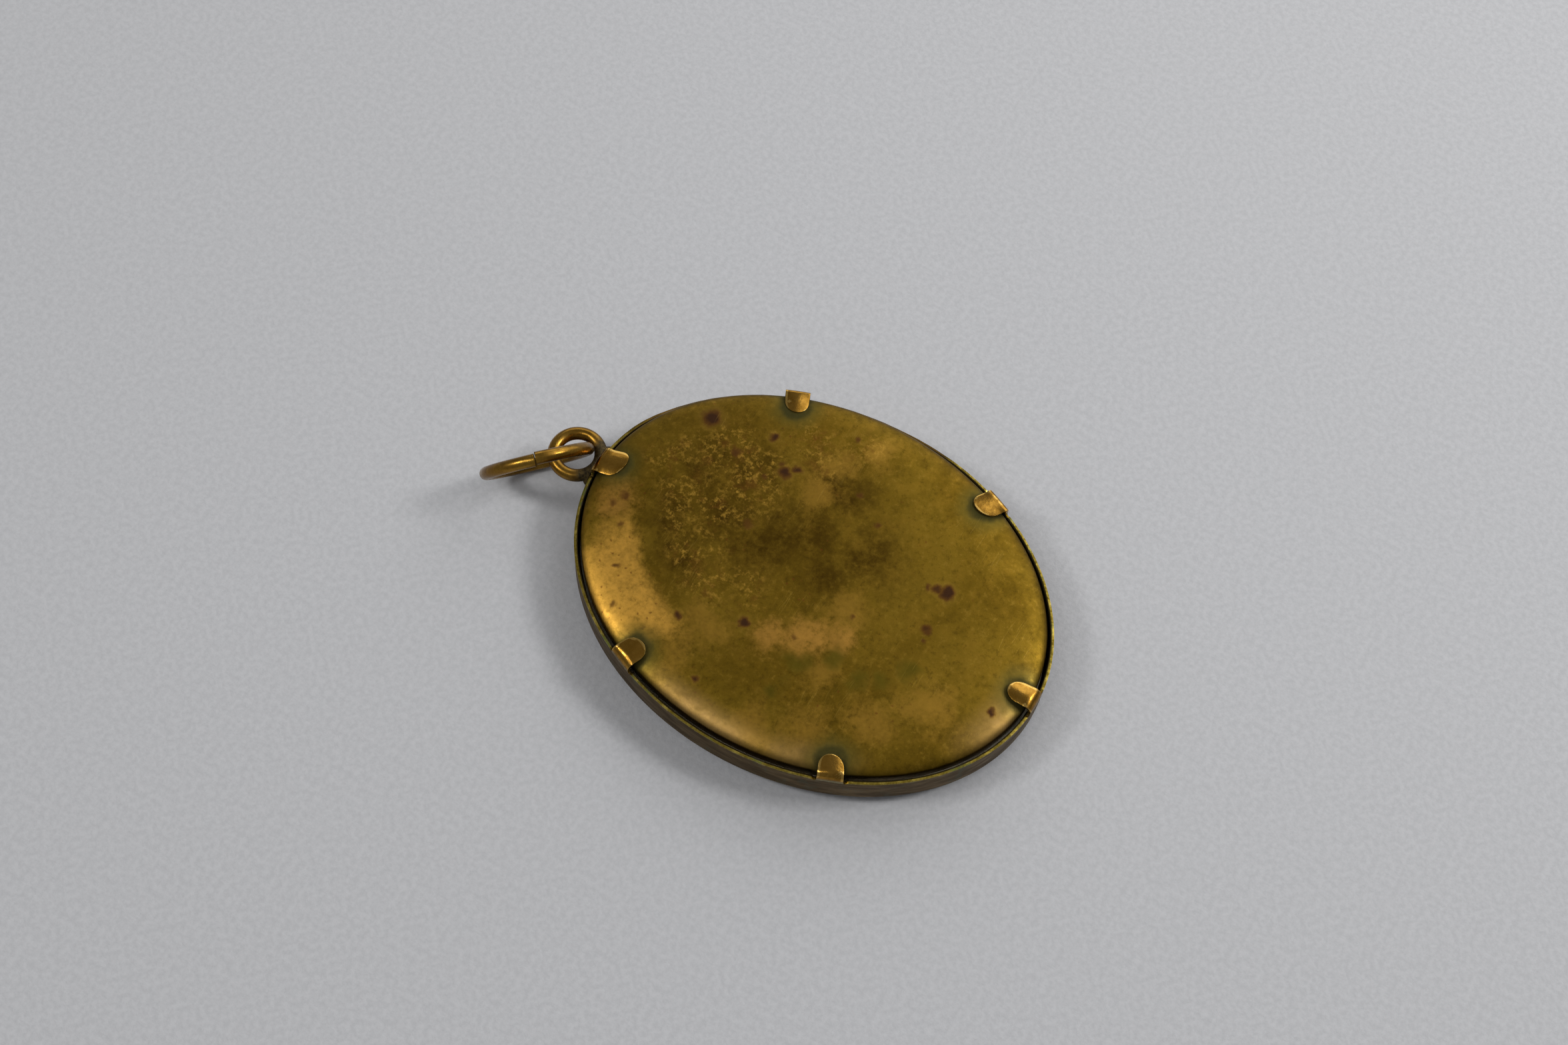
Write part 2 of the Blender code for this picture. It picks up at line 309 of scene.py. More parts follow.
def soften_edges(thing, width):
    """Round a solid piece's edges for good."""
    round_edges(thing, width)
    bake_modifiers(thing)
    thing.data.shade_smooth()
    return thing


def even_turns(count):
    """Turns round a circle or the oval at even steps."""
    return [2 * math.pi * step / count for step in range(count)]


def dome_rows(turns, inset, edge_z, crown_z, rows):
    """Rows of points from a dome's edge nearly to its crown."""
    made = []
    for row in range(1, rows):
        share = 1 - row / rows
        height = edge_z + (crown_z - edge_z) * (1 - share ** 2)
        made.append([oval_point(turn, inset, height, share) for turn in turns])
    return made


# ---------------------------------------------------------------- the bezel and its tabs


def bezel_columns():
    """The turns of the wall's columns, with the tab that each one belongs to, if any."""
    columns = []
    count = len(TAB_SHAPES)
    for index, tab in enumerate(TAB_SHAPES):
        middle = math.radians(tab["turn"])
        half = tab["width"] * MM / 2 / edge_speed(middle)
        for step in range(TAB_COLUMNS):
            columns.append((middle - half + 2 * half * step / TAB_COLUMNS, index))
        following = TAB_SHAPES[(index + 1) % count]
        after = math.radians(following["turn"])
        if after < middle:
            after += 2 * math.pi
        end = after - following["width"] * MM / 2 / edge_speed(after)
        start = middle + half
        columns.append((start, index))
        for step in range(1, GAP_COLUMNS):
            even = step / GAP_COLUMNS
            crowded = (1 - math.cos(math.pi * even)) / 2
            columns.append((start + (end - start) * (even + crowded) / 2, None))
    return columns


def tab_distance(turn):
    """How far along the wall a turn is from the nearest tab's edge, and zero inside a tab."""
    nearest = HALF_LENGTH
    for tab in TAB_SHAPES:
        middle = math.radians(tab["turn"])
        gap = abs((turn - middle + math.pi) % (2 * math.pi) - math.pi) * edge_speed(middle)
        nearest = min(nearest, max(0.0, gap - tab["width"] * MM / 2))
    return nearest


def wall_inset(turn, height):
    """How far the wall is pushed in at this place."""
    point = oval_point(turn, 0.0, height)
    slow = 0.5 + 0.5 * grain(point, 7.0 * MM, 1.7)
    fast = 0.5 + 0.5 * grain(point, 1.6 * MM, 5.2)
    share = (height - LIP_Z) / (RIM_Z - LIP_Z)
    return WALL_WAVE * (0.75 * slow + 0.25 * fast) * max(0.0, min(1.0, share))


def rim_height(turn):
    """The height of the wall's cut rim: worn, lower on the far side, and notched beside each tab."""
    point = oval_point(turn, 0.0)
    away = tab_distance(turn)
    fade = min(1.0, away / RIM_WEAR_START)
    facing = oval_normal(turn).dot(FAR_SIDE)
    height = RIM_Z - FAR_DROP * ease((facing - FAR_START) / FAR_SPAN)
    height += RIM_WEAR * fade * grain(point, 0.9 * MM, 2.3)
    height += RIM_WEAR * fade * grain(point, 4.0 * MM, 6.1)
    if away > 0:
        height -= NOTCH_DEPTH * math.exp(-(((away - NOTCH_PLACE) / NOTCH_WIDTH) ** 2))
    return height


def wall_stations():
    """Pairs of inset and height, from the lip's inner edge to the foot of the wall."""
    stations = []
    for step in range(LIP_ROWS):
        stations.append((LIP_WIDTH + (CORNER_RADIUS - LIP_WIDTH) * step / LIP_ROWS, LIP_Z))
    stations.append((CORNER_RADIUS, LIP_Z))
    for forward, back in arc(BEND_ROWS):
        stations.append((CORNER_RADIUS * (1 - forward), LIP_Z + CORNER_RADIUS * back))
    return stations


def bezel_wall(bm, columns):
    """The lip and the wall. Returns the rim's vertices."""
    rows = []
    for inset, height in wall_stations():
        rows.append([oval_point(turn, inset, height) for turn, _ in columns])
    foot = LIP_Z + CORNER_RADIUS
    for step in range(1, WALL_ROWS + 1):
        row = []
        for turn, _ in columns:
            height = foot + (rim_height(turn) - foot) * step / WALL_ROWS
            row.append(oval_point(turn, wall_inset(turn, height), height))
        rows.append(row)
    return add_rows(bm, rows)[-1]


def tab_point(tab, u, inset, height, narrow, root, across, inward):
    """A point of a tab. u runs from -1 to 1 across it, and narrow is its width's share there."""
    reach = tab["reach"] * MM
    along = max(0.0, inset / reach)
    side = across * narrow * (1 + tab["flare"] * along)
    tangent = Vector((inward.y, -inward.x, 0.0))
    point = root + side + inward * inset
    point += tangent * tab["lean"] * MM * along ** 1.5
    ramp = min(1.0, along * 3)
    point.z = height
    point.z -= tab["crown"] * MM * (u * narrow) ** 2 * ramp
    point.z += TAB_DENT * ramp * grain(point, 1.1 * MM, 4.4)
    return point


def tab_rows(tab, turns):
    """Rows of points from the rim up, over the fold and along to the rounded tip."""
    middle = math.radians(tab["turn"])
    root = oval_point(middle, 0.0)
    inward = -oval_normal(middle)
    bend = tab["bend"] * MM
    tip = tab["tip"] * MM
    reach = tab["reach"] * MM
    count = len(turns) - 1
    us = [2 * index / count - 1 for index in range(count + 1)]
    columns = [(u, oval_point(turn, 0.0) - root) for u, turn in zip(us, turns)]
    stations = [(0.0, (RIM_Z + TAB_TOP_Z - bend) / 2), (0.0, TAB_TOP_Z - bend)]
    for forward, back in arc(BEND_ROWS):
        stations.append((bend * back, TAB_TOP_Z - bend + bend * forward))
    for step in range(1, TAB_FLAT_ROWS + 1):
        inset = bend + (reach - tip - bend) * step / TAB_FLAT_ROWS
        stations.append((inset, TAB_TOP_Z + TAB_SLOPE * (inset - bend)))
    rows = []
    for inset, height in stations:
        rows.append([tab_point(tab, u, inset, height, 1.0, root, side, inward) for u, side in columns])
    for step in range(1, TAB_TIP_ROWS + 1):
        v = step / TAB_TIP_ROWS
        narrow = math.sqrt(1 - v * v / 2)
        row = []
        for u, side in columns:
            inset = reach - tip + tip * v * math.sqrt(1 - u * u / 2)
            height = TAB_TOP_Z + TAB_SLOPE * (inset - bend)
            row.append(tab_point(tab, u, inset, height, narrow, root, side, inward))
        rows.append(row)
    return rows


def make_bezel():
    """Bezel: wall, lip and six tabs, all one sheet of brass."""
    bm = bmesh.new()
    columns = bezel_columns()
    rim = bezel_wall(bm, columns)
    for index, tab in enumerate(TAB_SHAPES):
        chosen = [place for place, column in enumerate(columns) if column[1] == index]
        lower = [rim[place] for place in chosen]
        turns = [columns[place][0] for place in chosen]
        for row in tab_rows(tab, turns):
            upper = [bm.verts.new(point) for point in row]
            bridge(bm, lower, upper, closed=False)
            lower = upper
    return make_sheet("bezel_wall_and_tabs", bm, SHEET, True)


# ---------------------------------------------------------------- plate, glass, card and pad


def plate_height(away):
    """The height of the plate's outside this far in from its edge, on one long curve."""
    span = HALF_WIDTH - PLATE_INSET
    left = max(0.0, 1 - away / span)
    return PLATE_ROLL_Z + (PLATE_TOP_Z - PLATE_ROLL_Z) * (1 - left ** PLATE_FULLNESS) ** 0.5


def plate_point(turn, away, share):
    """A point on the plate, with its dents, before it settles into the wall."""
    inwards = away + (1 - share) * HALF_WIDTH
    point = oval_point(turn, PLATE_INSET + away, plate_height(inwards), share)
    fade = min(1.0, inwards / PLATE_DENT_START)
    point.z -= PLATE_DENT * fade * (0.5 + 0.5 * grain(point, 5.5 * MM, 3.1))
    point.z -= PLATE_DENT * 0.35 * fade * (0.5 + 0.5 * grain(point, 1.7 * MM, 8.4))
    return point


def settle_plate(point):
    """Where the plate lies: pushed a little to one side of the wall, and higher there."""
    raised = PLATE_TILT * point.dot(FAR_SIDE) / HALF_WIDTH
    return point + FAR_SIDE * PLATE_SHIFT + Vector((0.0, 0.0, raised))


def make_plate():
    """Back plate: a shallow dome with a turned-down edge and faint dents."""
    bm = bmesh.new()
    turns = even_turns(PLATE_COLUMNS)
    rows = [[oval_point(turn, PLATE_INSET, PLATE_FOOT_Z) for turn in turns]]
    for step in range(ROLL_ROWS):
        away = PLATE_ROLL_WIDTH * (step / ROLL_ROWS) ** 2
        rows.append([plate_point(turn, away, 1.0) for turn in turns])
    for row in range(DOME_ROWS):
        rows.append([plate_point(turn, PLATE_ROLL_WIDTH, 1 - row / DOME_ROWS) for turn in turns])
    rows = [[settle_plate(point) for point in row] for row in rows]
    made = add_rows(bm, rows)
    middle = sum((vert.co for vert in made[-1]), Vector()) / len(made[-1])
    close_row(bm, made[-1], middle)
    return make_sheet("back_plate_dome", bm, PLATE_SHEET, True)


def make_glass():
    """Front glass: a domed crystal that sits on the lip."""
    bm = bmesh.new()
    turns = even_turns(INNER_COLUMNS)
    seat_end = GLASS_INSET + GLASS_SEAT_WIDTH
    rows = [[oval_point(turn, GLASS_INSET, GLASS_SEAT_Z) for turn in turns]]
    rows.append([oval_point(turn, seat_end, GLASS_SEAT_Z) for turn in turns])
    rows += dome_rows(turns, seat_end, GLASS_SEAT_Z, 0.0, GLASS_ROWS)
    made = add_rows(bm, rows)
    close_row(bm, made[-1], Vector())
    return make_sheet("front_glass_dome", bm, GLASS_THICKNESS, False)


def make_slab(name, inset, low, high, edge):
    """A flat oval slab with softened edges."""
    bm = bmesh.new()
    turns = even_turns(INNER_COLUMNS)
    rows = []
    for share in SLAB_SHARES:
        rows.append([oval_point(turn, inset, low, share) for turn in turns])
    for share in reversed(SLAB_SHARES):
        rows.append([oval_point(turn, inset, high, share) for turn in turns])
    made = add_rows(bm, rows)
    close_row(bm, made[0], Vector((0.0, 0.0, low)))
    close_row(bm, made[-1], Vector((0.0, 0.0, high)))
    return soften_edges(make_object(name, bm), edge)


def make_card():
    """Picture card: a thin oval of old paper, left blank."""
    return make_slab("picture_card_blank", GLASS_INSET, CARD_Z, CARD_Z + CARD_THICKNESS, CARD_BEVEL)


def make_pad():
    """Backing pad: soft board under the back plate."""
    bm = bmesh.new()
    turns = even_turns(INNER_COLUMNS)
    shoulder = PAD_INSET + PAD_SHOULDER_WIDTH
    rows = [[oval_point(turn, PAD_INSET, PAD_Z, share) for turn in turns] for share in PAD_SHARES]
    sides = ((PAD_INSET, PAD_Z), (PAD_INSET, PAD_EDGE_Z), (shoulder, PAD_SHOULDER_Z))
    for inset, height in sides:
        rows.append([oval_point(turn, inset, height) for turn in turns])
    rows += dome_rows(turns, shoulder, PAD_SHOULDER_Z, PAD_CROWN_Z, PAD_ROWS)
    made = add_rows(bm, rows)
    close_row(bm, made[0], Vector((0.0, 0.0, PAD_Z)))
    close_row(bm, made[-1], Vector((0.0, 0.0, PAD_CROWN_Z)))
    return soften_edges(make_object("backing_board", bm), PAD_BEVEL)


# ---------------------------------------------------------------- the eye and the jump ring


def tube_row(centre, outward, upward, radius):
    """A circle of points round the middle of a wire."""
    row = []
    for angle in even_turns(TUBE_SIDES):
        row.append(centre + (outward * math.cos(angle) + upward * math.sin(angle)) * radius)
    return row


def eye_rows():
    """Circles round the eye's wire, which is a little flattened by filing."""
    rows = []
    for turn in even_turns(EYE_STEPS):
        outward = Vector((math.cos(turn), math.sin(turn), 0.0))
        centre = EYE_CENTRE + outward * EYE_RADIUS
        radius = EYE_WIRE / 2 * (1 - EYE_WEAR * (1 + grain(centre, 1.3 * MM, 9.0)))
        rows.append(tube_row(centre, outward, Vector((0.0, 0.0, 1.0)), radius))
    return rows


def push_out_of_wall(mesh):
    """Flatten a mesh against the wall's outside, with the usual clearance."""
    for vert in mesh.vertices:
        turn = math.atan2(vert.co.y / HALF_LENGTH, vert.co.x / HALF_WIDTH)
        wall = oval_point(turn, -FIT)
        short = (wall - vert.co).dot(oval_normal(turn))
        if short > 0:
            vert.co += oval_normal(turn) * short


def make_eye():
    """Eye: a flat wire ring, its foot set in solder against the wall."""
    bm = bmesh.new()
    made = add_rows(bm, eye_rows())
    bridge(bm, made[-1], made[0])
    for side in (-1, 1):
        centre = Vector((side * SOLDER_REACH, HALF_LENGTH - SOLDER_SINK, EYE_CENTRE.z))
        place = Matrix.Translation(centre) @ Matrix.Diagonal((*SOLDER_SIZE, 1.0))
        bmesh.ops.create_uvsphere(bm, u_segments=40, v_segments=24, radius=1.0, matrix=place)
    eye = make_object("eye_wire_and_solder", bm)
    skin = eye.modifiers.new("one_skin", "REMESH")
    skin.mode = "VOXEL"
    skin.voxel_size = SKIN_SIZE
    skin.use_smooth_shade = True
    flow = eye.modifiers.new("flow", "SMOOTH")
    flow.factor = 0.5
    flow.iterations = 10
    bake_modifiers(eye)
    push_out_of_wall(eye.data)
    eye.data.shade_smooth()
    return eye


def ring_directions():
    """The jump ring's level direction, its upward direction and its normal."""
    normal = Vector((math.cos(RING_YAW), math.sin(RING_YAW), 0.0)) * math.cos(RING_LEAN)
    normal.z = math.sin(RING_LEAN)
    level = normal.cross(Vector((0.0, 0.0, 1.0))).normalized()
    return level, level.cross(normal), normal


def ring_place(share, level, upward, normal):
    """The wire's middle and its outward direction, at this share of the way round."""
    half_slit = RING_SLIT / 2 / RING_RADIUS
    turn = RING_SLIT_TURN + half_slit + (2 * math.pi - 2 * half_slit) * share
    outward = level * math.cos(turn) + upward * math.sin(turn)
    centre = RING_CENTRE + outward * RING_RADIUS + normal * RING_SPREAD * (share - 0.5)
    return centre, outward


def make_jump_ring():
    """Jump ring: round wire, snipped and bent shut, with softened ends."""
    bm = bmesh.new()
    level, upward, normal = ring_directions()
    whole = 2 * math.pi * RING_RADIUS
    rounded = [(0.0, 0.0)]
    for forward, back in arc(RING_END_STEPS):
        rounded.append((RING_END_BEVEL * back / whole, forward))
    rows = []
    for advance, grown in rounded:
        centre, outward = ring_place(advance, level, upward, normal)
        rows.append(tube_row(centre, outward, normal, RING_WIRE / 2 - RING_END_BEVEL * (1 - grown)))
    first = rounded[-1][0]
    for step in range(1, RING_STEPS):
        share = first + (1 - 2 * first) * step / RING_STEPS
        centre, outward = ring_place(share, level, upward, normal)
        worn = 1 - RING_WEAR * (1 + grain(centre, 1.6 * MM, 7.7))
        rows.append(tube_row(centre, outward, normal, RING_WIRE / 2 * worn))
    for advance, grown in reversed(rounded):
        centre, outward = ring_place(1 - advance, level, upward, normal)
        rows.append(tube_row(centre, outward, normal, RING_WIRE / 2 - RING_END_BEVEL * (1 - grown)))
    made = add_rows(bm, rows)
    for row in (made[0], made[-1]):
        middle = sum((vert.co for vert in row), Vector()) / len(row)
        close_row(bm, row, middle)
    return make_object("jump_ring_wire", bm)


# ---------------------------------------------------------------- materials


class Finish:
    """A material whose patterns are laid out in millimetres in the part's own frame."""

    def __init__(self, name):
        self.material = bpy.data.materials.new(name)
        self.material.use_nodes = True
        self.tree = self.material.node_tree
        self.shader = self.tree.nodes["Principled BSDF"]
        place = self.add("ShaderNodeTexCoord").outputs["Object"]
        self.place = self.vector("SCALE", place, 1 / MM)
        self.split = self.add("ShaderNodeSeparateXYZ")
        self.link(self.place, self.split.inputs[0])

    def add(self, kind):
        return self.tree.nodes.new(kind)

    def link(self, value, socket):
        """Put a number, a colour or another node's output into a socket."""
        if isinstance(value, bpy.types.NodeSocket):
            self.tree.links.new(value, socket)
        elif isinstance(value, (tuple, list)) and len(value) == 3 and socket.type == "RGBA":
            socket.default_value = (*value, 1.0)
        else:
            socket.default_value = value

    def vector(self, operation, first, second):
        node = self.add("ShaderNodeVectorMath")
        node.operation = operation
        self.link(first, node.inputs[0])
        if operation == "SCALE":
            self.link(second, node.inputs["Scale"])
        else:
            self.link(second, node.inputs[1])
        return node.outputs["Value" if operation in ("DISTANCE", "DOT_PRODUCT") else "Vector"]

    def maths(self, operation, first, second=0.0):
        node = self.add("ShaderNodeMath")
        node.operation = operation
        self.link(first, node.inputs[0])
        self.link(second, node.inputs[1])
        return node.outputs[0]

    def times(self, first, second):
        return self.maths("MULTIPLY", first, second)

    def smooth(self, value, low, high, start=0.0, end=1.0):
        """A smooth step from start to end as the value goes from low to high."""
        node = self.add("ShaderNodeMapRange")
        node.interpolation_type = "SMOOTHSTEP"
        self.link(value, node.inputs["Value"])
        node.inputs["From Min"].default_value = low
        node.inputs["From Max"].default_value = high
        node.inputs["To Min"].default_value = start
        node.inputs["To Max"].default_value = end
        return node.outputs["Result"]

    def clouds(self, size, detail=4.0, rough=0.55, place=None, seed=0.0):
        """Noise between 0 and 1, its features about size millimetres wide."""
        node = self.add("ShaderNodeTexNoise")
        node.noise_dimensions = "4D" if seed else "3D"
        self.link(place or self.place, node.inputs["Vector"])
        if seed:
            node.inputs["W"].default_value = seed
        node.inputs["Scale"].default_value = 1 / size
        node.inputs["Detail"].default_value = detail
        node.inputs["Roughness"].default_value = rough
        return node.outputs["Fac"]

    def cells(self, size, place=None, soft=0.3):
        """Distance to the nearest of many scattered points, in shares of size."""
        node = self.add("ShaderNodeTexVoronoi")
        node.feature = "SMOOTH_F1"
        self.link(place or self.place, node.inputs["Vector"])
        node.inputs["Scale"].default_value = 1 / size
        node.inputs["Smoothness"].default_value = soft
        return node.outputs["Distance"]

    def mix(self, share, first, second):
        node = self.add("ShaderNodeMix")
        node.data_type = "RGBA"
        self.link(share, node.inputs["Factor"])
        self.link(first, node.inputs[6])
        self.link(second, node.inputs[7])
        return node.outputs[2]

    def tint(self, colour, share, strength, paint):
        """A colour mixed with another where share is high, at most by strength."""
        return self.mix(self.times(share, strength), colour, paint)

    def blend(self, share, first, second):
        """Like mix, for plain numbers."""
        node = self.add("ShaderNodeMix")
        node.data_type = "FLOAT"
        self.link(share, node.inputs["Factor"])
        self.link(first, node.inputs[2])
        self.link(second, node.inputs[3])
        return node.outputs[0]

    def warped(self, amount, size, seed=1.0):
        """The place, pushed about by noise."""
        node = self.add("ShaderNodeTexNoise")
        node.noise_dimensions = "4D"
        self.link(self.place, node.inputs["Vector"])
        node.inputs["W"].default_value = seed
        node.inputs["Scale"].default_value = 1 / size
        node.inputs["Detail"].default_value = 4.0
        push = self.vector("SUBTRACT", node.outputs["Color"], (0.5, 0.5, 0.5))
        push = self.vector("SCALE", push, amount)
        return self.vector("ADD", self.place, push)

    def flat(self, place):
        """A place with its height taken out."""
        return self.vector("MULTIPLY", place, (1.0, 1.0, 0.0))

    def spot(self, place, x, y, radius, soft):
        """1 inside a round spot in plan, falling to 0 over its soft edge."""
        away = self.vector("DISTANCE", place, (x, y, 0.0))
        return self.smooth(away, radius + soft, max(0.0, radius - soft))

    def spots(self, place, spots, soft):
        """1 inside any of several round spots."""
        return self.most([self.spot(place, x, y, radius, soft) for x, y, radius in spots])

    def ragged(self, mask, noise, strength=1.0):
        """A mask whose soft edge is broken up by noise."""
        pushed = self.times(self.maths("SUBTRACT", noise, 0.5), strength * 2)
        return self.times(mask, self.smooth(self.maths("ADD", mask, pushed), 0.1, 1.0))

    def most(self, values):
        """The greatest of several values."""
        result = values[0]
        for value in values[1:]:
            result = self.maths("MAXIMUM", result, value)
        return result

    def least(self, values):
        """The smallest of several values."""
        result = values[0]
        for value in values[1:]:
            result = self.maths("MINIMUM", result, value)
        return result

    def bump(self, height, depth, under=None):
        node = self.add("ShaderNodeBump")
        node.inputs["Distance"].default_value = depth * MM
        self.link(height, node.inputs["Height"])
        if under:
            self.link(under, node.inputs["Normal"])
        return node.outputs["Normal"]

    def finish(self, colour=None, rough=None, metal=None, normal=None):
        """Link what is given to the shader and hand over the material."""
        values = {"Base Color": colour, "Roughness": rough, "Metallic": metal, "Normal": normal}
        for name, value in values.items():
            if value is not None:
                self.link(value, self.shader.inputs[name])
        return self.material


def tab_places(shift):
    """Places in plan, in millimetres, this far in from the wall along the middle of each tab."""
    places = []
    for tab in TAB_SHAPES:
        turn = math.radians(tab["turn"])
        normal = oval_normal(turn)
        point = oval_point(turn, shift * MM)
        point += Vector((-normal.y, normal.x, 0.0)) * tab["lean"] * MM * (shift / tab["reach"]) ** 1.5
        places.append((point.x / MM, point.y / MM))
    return places


# How far round each kind of stain fades out, in millimetres
CLOUD_SOFT = 2.6
PINK_SOFT = 1.8
ZONE_SOFT = 1.6
GREEN_SOFT = 1.2
RUBBED_AND_HIGHLIGHT_SOFT = 3.5

# Verdigris is drawn round places this far in along each tab, in millimetres
TAB_HALO_PLACES = (0.3, 1.0, 1.6)

# Half the width of the painted shade line over the jump ring's slit, in millimetres
RING_SLIT_SHADE = 0.065

# Stains on the back plate, in millimetres: x, y and radius, and for the red spots a strength
RED_SPOTS = [
    (8.2, 14.7, 0.8, 1.0), (9.4, 9.3, 0.42, 0.85), (6.4, 11.2, 0.34, 0.6), (5.7, 8.1, 0.28, 0.5),
    (6.9, 6.7, 0.52, 0.9), (7.7, 6.0, 0.36, 0.8), (7.4, 7.4, 0.3, 0.5), (12.9, 3.1, 0.32, 0.55),
    (8.4, 0.4, 0.3, 0.5), (6.7, -2.3, 0.32, 0.5), (-7.6, 14.4, 0.3, 0.6), (-8.8, 7.7, 0.36, 0.8),
    (-6.5, 2.8, 0.45, 0.9), (-12.7, 3.6, 0.3, 0.8), (4.4, -10.2, 0.6, 1.0), (4.3, -9.3, 0.42, 0.75),
    (4.1, -8.6, 0.32, 0.6), (0.7, -10.3, 0.45, 0.7), (-0.4, -10.5, 0.22, 0.55), (-2.7, -18.2, 0.32, 0.85),
    (-1.5, -4.5, 0.25, 0.5), (-5.5, -1.4, 0.24, 0.45), (1.1, 7.1, 0.4, 0.45), (-4.2, 16.0, 0.36, 0.5),
    (-3.0, 17.6, 0.4, 0.5), (-1.9, 17.2, 0.42, 0.55), (-10.6, 12.9, 0.3, 0.5), (-11.2, 9.6, 0.26, 0.4),
]
GOLD_PATCHES = [
    (-11.5, 6.0, 1.6), (-14.0, -2.5, 1.4), (-11.5, -6.5, 2.2), (-8.5, -10.5, 2.0), (-5.5, -13.8, 2.2),
    (-8.2, 5.2, 1.2), (9.9, 2.9, 0.8), (12.4, 0.6, 0.7), (6.5, 3.6, 0.9), (-1.5, -4.2, 0.9),
    (-7.0, -4.6, 0.9),
]
PINK_PATCHES = [(-5.0, -2.0, 2.0), (-3.8, -4.4, 1.4), (-6.4, 0.2, 1.5), (-2.6, 17.6, 1.4)]
GREEN_PATCHES = [
    (-7.5, -2.8, 1.0), (-5.4, -4.7, 1.0), (-4.7, -9.6, 0.7), (-10.0, -2.3, 0.7), (-2.6, -10.9, 0.5),
    (-6.4, -8.0, 0.8),
]
DARK_CLOUDS = [
    (-0.5, 5.6, 2.3), (1.6, 4.6, 2.0), (0.8, 9.1, 1.6), (4.0, 12.0, 1.6), (5.6, 8.8, 1.7),
    (3.0, 2.2, 2.4), (-3.2, 11.2, 1.5), (-4.6, 9.6, 1.2), (-1.4, 13.2, 1.2), (4.0, -3.5, 2.4),
    (0.5, -0.5, 1.8), (7.5, 2.0, 1.6),
]
# Paler brass on the plate's shoulder at the near edges: partly real rubbing, partly a painted highlight,
# as it lies only on the edges turned towards the camera
RUBBED_AND_HIGHLIGHT_EDGES = [(-15.6, 1.5, 4.5), (-13.0, -7.0, 2.5), (-3.0, -20.0, 3.0)]
FLECK_ZONES = [
    (3.0, 15.0, 2.4), (6.3, 11.8, 2.2), (4.4, 8.4, 2.4), (9.5, 4.2, 2.0), (12.4, 1.5, 1.4),
    (0.4, 12.6, 2.2), (-2.6, 9.4, 2.2), (11.6, 6.4, 1.4), (7.4, 8.6, 2.0), (1.6, 10.6, 2.4),
    (-5.4, 7.0, 1.6), (-3.6, 4.0, 1.4),
]


def oval_share(f):
    """0 at the locket's middle, 1 on the outside of its wall."""
    across = f.vector("MULTIPLY", f.flat(f.place), (MM / HALF_WIDTH, MM / HALF_LENGTH, 0.0))
    return f.vector("DISTANCE", across, (0.0, 0.0, 0.0))


def plate_ground(f, mottle, grainy):
    """The plate's brown ground, mottled lighter and darker."""
    broad = f.clouds(8.0, 3.0, 0.6, seed=3.0)
    colour = f.mix(f.smooth(broad, 0.34, 0.66), (0.115, 0.067, 0.0055), (0.165, 0.100, 0.0095))
    colour = f.mix(f.smooth(mottle, 0.46, 0.72, 0.0, 0.6), colour, (0.215, 0.122, 0.013))
    colour = f.mix(f.smooth(mottle, 0.5, 0.28, 0.0, 0.6), colour, (0.070, 0.042, 0.0042))
    colour = f.mix(f.smooth(grainy, 0.52, 0.66, 0.0, 0.5), colour, (0.235, 0.14, 0.018))
    return f.mix(f.smooth(grainy, 0.48, 0.34, 0.0, 0.5), colour, (0.060, 0.034, 0.0038))


def plate_gold(f, colour, gold, band, both, grainy):
    """Golden patches, and the brighter band of bare brass that curves past one side."""
    colour = f.tint(colour, f.ragged(gold, both, 1.8), 0.6, (0.31, 0.170, 0.024))
    band_part = f.times(f.ragged(band, both), f.smooth(grainy, 0.3, 0.6, 0.6, 1.0))
    return f.mix(band_part, colour, (0.53, 0.285, 0.045))


def plate_flecks(f, colour, wide):
    """Small gold flecks, and rust between them."""
    zone = f.spots(wide, FLECK_ZONES, ZONE_SOFT)
    smudges = f.smooth(f.clouds(0.42, 4.0, 0.68, seed=9.0), 0.47, 0.68)
    flecks = f.times(f.times(smudges, zone), f.smooth(f.clouds(2.0, 3.0, 0.6, seed=10.0), 0.34, 0.52))
    colour = f.tint(colour, flecks, 0.95, (0.36, 0.205, 0.030))
    rust = f.times(f.smooth(f.clouds(1.4, 5.0, 0.7, seed=12.0), 0.5, 0.66), zone)
    return f.tint(colour, rust, 0.6, (0.120, 0.050, 0.0085))


def plate_pepper(f, colour, band):
    """Fine red-brown dots on the bright band and in scattered patches."""
    pepper = f.smooth(f.cells(0.7, f.warped(0.4, 0.4, 6.0), 0.1), 0.2, 0.07)
    where = f.maths("MAXIMUM", band, f.smooth(f.clouds(3.0, 2.0, seed=13.0), 0.54, 0.66))
    return f.tint(colour, f.times(pepper, where), 0.6, (0.12, 0.038, 0.008))


def plate_stains(f, colour):
    """Red-brown spots, the strong ones in a paler ring. Gives the colour and where the spots are."""
    near = f.flat(f.warped(1.1, 0.9))
    stains = []
    bleached = []
    for x, y, radius, strength in RED_SPOTS:
        stains.append(f.times(f.spot(near, x, y, radius * 0.95, radius * 0.8), strength))
        if strength > 0.7:
            bleached.append(f.spot(near, x, y, radius * 1.7, radius * 0.6))
    stain = f.most(stains)
    colour = f.tint(colour, f.most(bleached), 0.28, (0.25, 0.15, 0.02))
    colour = f.mix(f.smooth(stain, 0.0, 0.6, 0.0, 0.85), colour, (0.085, 0.032, 0.006))
    colour = f.mix(f.smooth(stain, 0.45, 0.9, 0.0, 0.85), colour, (0.032, 0.011, 0.0045))
    return colour, stain


